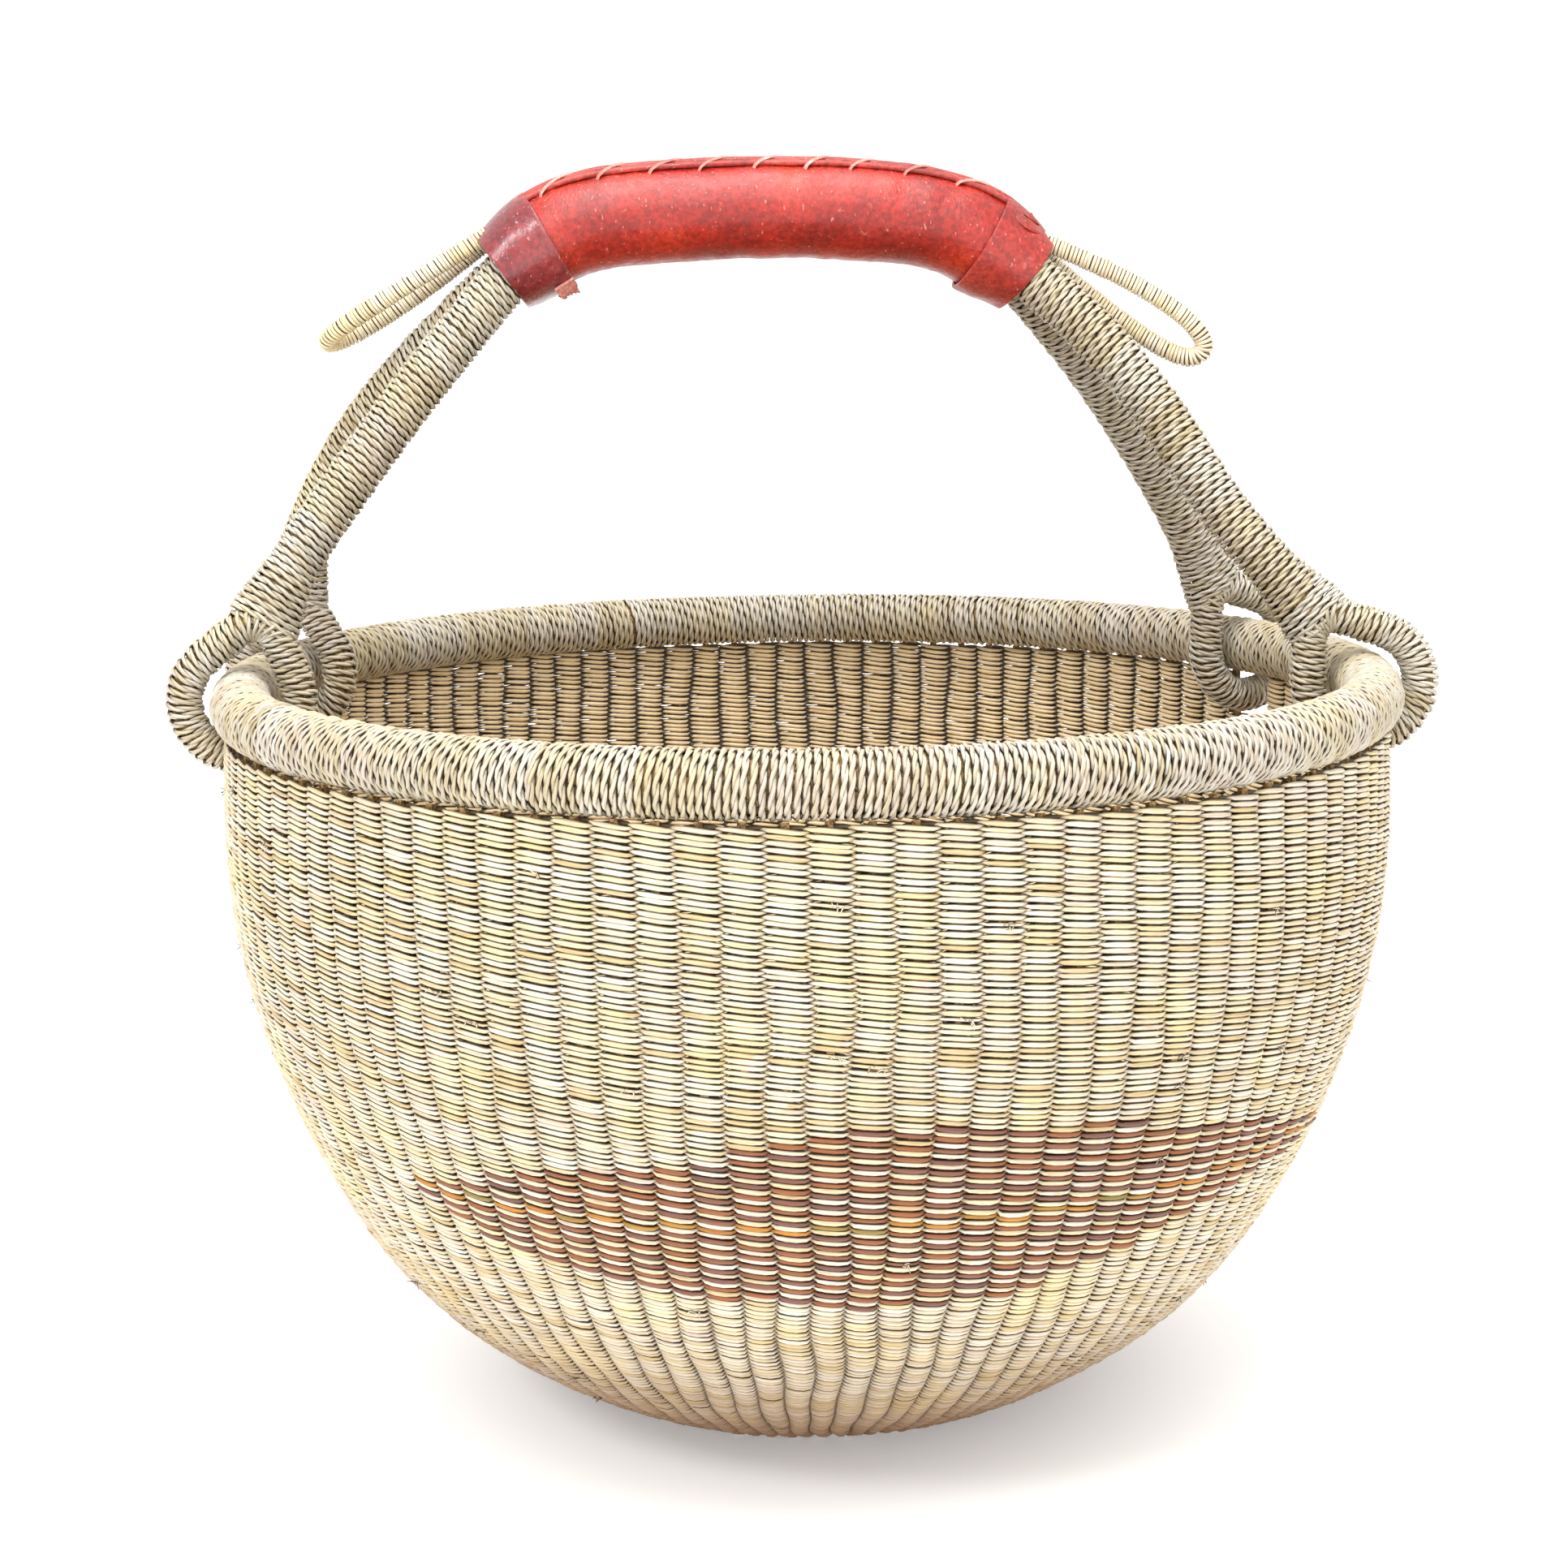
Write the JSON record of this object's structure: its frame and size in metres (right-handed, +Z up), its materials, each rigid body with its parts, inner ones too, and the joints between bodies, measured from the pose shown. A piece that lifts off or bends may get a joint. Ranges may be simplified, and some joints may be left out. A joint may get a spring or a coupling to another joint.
{
  "type": "woven market basket",
  "caption": "Round twined grass market basket with an arched two-bow handle, a laced leather grip and a padded wrapped rim.",
  "frame": {"origin": "centre of the flat base, on the surface that the basket stands on", "axes": "+Z up; +X from the left end of the handle to the right end, within 5.5 degrees; +Y away from the front of the basket"},
  "size_m": [0.4516, 0.422, 0.4461],
  "materials": {
    "grass_bundle": "dry straw bundle",
    "grass_natural_weft": "twined natural grass",
    "grass_dyed_weft": "twined dyed and natural grass",
    "grass_two_ply_cord": "two-ply twisted grass cord",
    "grass_fine_cord": "fine single grass strand",
    "leather_red": "goat leather, red, semi-gloss",
    "leather_wine": "goat leather, wine red, glossy",
    "leather_thong": "pale leather lace"
  },
  "bodies": {
    "basket": {"base_start_disc": "grass_bundle", "stakes_long": "grass_bundle", "stakes_added": "grass_bundle", "outer_weft_base": "grass_natural_weft", "outer_weft_lower": "grass_natural_weft", "outer_weft_dyed_band": "grass_dyed_weft", "outer_weft_upper": "grass_natural_weft", "inner_weft_base": "grass_natural_weft", "inner_weft_lower": "grass_natural_weft", "inner_weft_dyed_band": "grass_dyed_weft", "inner_weft_upper": "grass_natural_weft", "rim_core": "grass_bundle", "rim_wrap_right": "grass_two_ply_cord", "rim_wrap_back_right": "grass_two_ply_cord", "rim_wrap_back": "grass_two_ply_cord", "rim_wrap_back_left": "grass_two_ply_cord", "rim_wrap_left": "grass_two_ply_cord", "rim_wrap_front_left": "grass_two_ply_cord", "rim_wrap_front": "grass_two_ply_cord", "rim_wrap_front_right": "grass_two_ply_cord"},
    "handle": {"bow_core_front": "grass_bundle", "bow_core_back": "grass_bundle", "leg_wrap_front_left": "grass_two_ply_cord", "leg_wrap_back_left": "grass_two_ply_cord", "leg_wrap_front_right": "grass_two_ply_cord", "leg_wrap_back_right": "grass_two_ply_cord", "ring_core_front_left": "grass_bundle", "ring_core_back_left": "grass_bundle", "ring_core_front_right": "grass_bundle", "ring_core_back_right": "grass_bundle", "ring_wrap_front_left": "grass_two_ply_cord", "ring_wrap_back_left": "grass_two_ply_cord", "ring_wrap_front_right": "grass_two_ply_cord", "ring_wrap_back_right": "grass_two_ply_cord", "grip_padding": "grass_bundle", "grip_leather": "leather_red", "grip_band_left": "leather_wine", "grip_band_right": "leather_red", "grip_seam_edges": "leather_red", "grip_lacing": "leather_thong", "end_loop_core_left": "grass_bundle", "end_loop_wrap_left": "grass_fine_cord", "end_loop_core_right": "grass_bundle", "end_loop_wrap_right": "grass_fine_cord"}
  },
  "joints": [
    {"name": "handle_rock", "type": "hinge", "parent": "basket", "child": "handle", "pos_m": [0, 0.0278, 0.258], "axis": [0.9954, 0.0958, 0], "range_deg": [-1.5, 1.5]}
  ]
}
